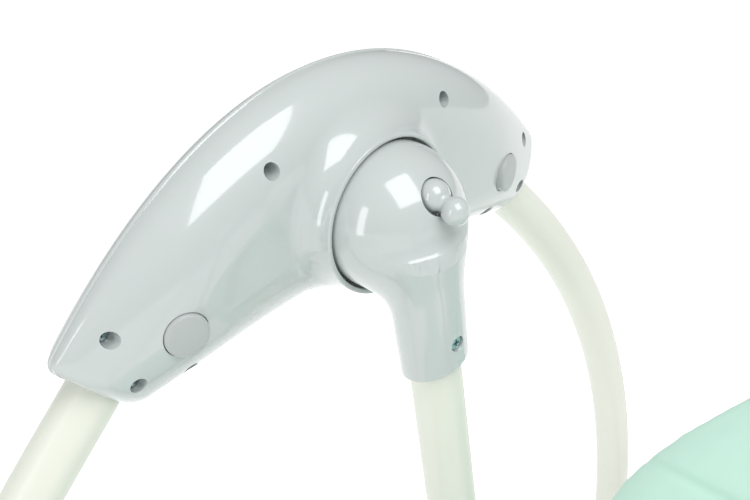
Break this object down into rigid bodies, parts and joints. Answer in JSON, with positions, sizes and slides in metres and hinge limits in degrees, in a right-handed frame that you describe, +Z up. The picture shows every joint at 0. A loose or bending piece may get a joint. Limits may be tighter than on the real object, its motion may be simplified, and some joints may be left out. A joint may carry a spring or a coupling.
{
  "type": "baby swing",
  "caption": "Compact baby swing: two arch hubs on curved tube legs, dome swing hubs and arms, padded reclining seat with harness.",
  "frame": {"origin": "on the floor, midway between the four feet", "axes": "+Z up, +X towards the right hub, the child faces -Y, the swing's axis runs along X"},
  "size_m": [0.5907, 0.657, 0.5636],
  "materials": {
    "hub_plastic": "gloss",
    "button_plastic": "satin",
    "cream_tube": "satin",
    "bare_steel": "satin",
    "zinc": "satin",
    "black_rubber": "matte",
    "nylon": "matte",
    "dark_plastic": "matte",
    "copper": "satin",
    "magnet": "matte",
    "board": "satin",
    "cell": "satin",
    "mint_fabric": "soft",
    "webbing": "matte",
    "panel_plastic": "satin"
  },
  "bodies": {
    "base": {"axle_bushes": "nylon", "battery_cells": "cell", "battery_contacts": "bare_steel", "battery_tray": "dark_plastic", "circuit_board": "board", "coil_bobbin": "nylon", "coil_winding": "copper", "control_panel": "panel_plastic", "floor_tube_sleeves": "dark_plastic", "floor_tubes": "cream_tube", "front_left_leg": "cream_tube", "front_right_leg": "cream_tube", "hub_screws": "zinc", "left_carrier_plate": "bare_steel", "left_inner_cover": "hub_plastic", "left_outer_cover": "hub_plastic", "leg_lock_springs": "bare_steel", "rear_left_leg": "cream_tube", "rear_right_leg": "cream_tube", "right_carrier_plate": "bare_steel", "right_inner_cover": "hub_plastic", "right_outer_cover": "hub_plastic", "rubber_feet": "black_rubber", "speaker": "dark_plastic"},
    "swing": {"left_swing_hub": "hub_plastic", "right_swing_hub": "hub_plastic", "left_peg": "hub_plastic", "right_peg": "hub_plastic", "hub_axles": "bare_steel", "axle_clips": "bare_steel", "left_swing_arm": "cream_tube", "right_swing_arm": "cream_tube", "arm_screws": "zinc", "left_seat_bracket": "hub_plastic", "right_seat_bracket": "hub_plastic", "seat_tube": "cream_tube", "recline_pins": "bare_steel", "seat_board": "dark_plastic", "seat_pad": "mint_fabric", "waist_straps": "webbing", "crotch_strap": "webbing", "buckle": "dark_plastic", "magnet_lever": "bare_steel", "drive_magnet": "magnet"},
    "seat_back": {"back_tube": "cream_tube", "back_board": "dark_plastic", "back_pad": "mint_fabric", "head_pad": "mint_fabric", "left_shoulder_strap": "webbing", "right_shoulder_strap": "webbing"},
    "front_left_leg_button": {"front_left_leg_button": "button_plastic"},
    "front_right_leg_button": {"front_right_leg_button": "button_plastic"},
    "rear_left_leg_button": {"rear_left_leg_button": "button_plastic"},
    "rear_right_leg_button": {"rear_right_leg_button": "button_plastic"},
    "power_button": {"power_button": "panel_plastic"},
    "speed_button": {"speed_button": "panel_plastic"},
    "timer_button": {"timer_button": "panel_plastic"},
    "music_button": {"music_button": "panel_plastic"},
    "battery_door": {"battery_door": "panel_plastic"},
    "buckle_button": {"buckle_button": "button_plastic"}
  },
  "joints": [
    {"name": "swing_pivot", "type": "hinge", "parent": "base", "child": "swing", "pos_m": [0, 0, 0.5], "axis": [1, 0, 0], "range_deg": [-18, 18]},
    {"name": "back_recline", "type": "hinge", "parent": "swing", "child": "seat_back", "pos_m": [0, 0.052, 0.186], "axis": [1, 0, 0], "range_deg": [0, 25]},
    {"name": "front_left_leg_button_press", "type": "slide", "parent": "base", "child": "front_left_leg_button", "axis": [-0.9548, 0.2974, 0], "range_m": [0, 0.004], "stiffness_N_per_m": 800, "springref_m": -0.0008},
    {"name": "front_right_leg_button_press", "type": "slide", "parent": "base", "child": "front_right_leg_button", "axis": [0.9548, 0.2974, 0], "range_m": [0, 0.004], "stiffness_N_per_m": 800, "springref_m": -0.0008},
    {"name": "rear_left_leg_button_press", "type": "slide", "parent": "base", "child": "rear_left_leg_button", "axis": [-0.9548, -0.2974, 0], "range_m": [0, 0.004], "stiffness_N_per_m": 800, "springref_m": -0.0008},
    {"name": "rear_right_leg_button_press", "type": "slide", "parent": "base", "child": "rear_right_leg_button", "axis": [0.9548, -0.2974, 0], "range_m": [0, 0.004], "stiffness_N_per_m": 800, "springref_m": -0.0008},
    {"name": "power_button_press", "type": "slide", "parent": "base", "child": "power_button", "axis": [-1, 0, 0], "range_m": [0, 0.0012], "stiffness_N_per_m": 600, "springref_m": -0.0004},
    {"name": "speed_button_press", "type": "slide", "parent": "base", "child": "speed_button", "axis": [-1, 0, 0], "range_m": [0, 0.0012], "stiffness_N_per_m": 600, "springref_m": -0.0004},
    {"name": "timer_button_press", "type": "slide", "parent": "base", "child": "timer_button", "axis": [-1, 0, 0], "range_m": [0, 0.0012], "stiffness_N_per_m": 600, "springref_m": -0.0004},
    {"name": "music_button_press", "type": "slide", "parent": "base", "child": "music_button", "axis": [-1, 0, 0], "range_m": [0, 0.0012], "stiffness_N_per_m": 600, "springref_m": -0.0004},
    {"name": "battery_door_hinge", "type": "hinge", "parent": "base", "child": "battery_door", "pos_m": [0.2955, 0, 0.459], "axis": [0, 1, 0], "range_deg": [0, 100]},
    {"name": "buckle_button_press", "type": "slide", "parent": "swing", "child": "buckle_button", "axis": [0, -0.12, -0.9928], "range_m": [0, 0.0035], "stiffness_N_per_m": 700, "springref_m": -0.0006}
  ]
}
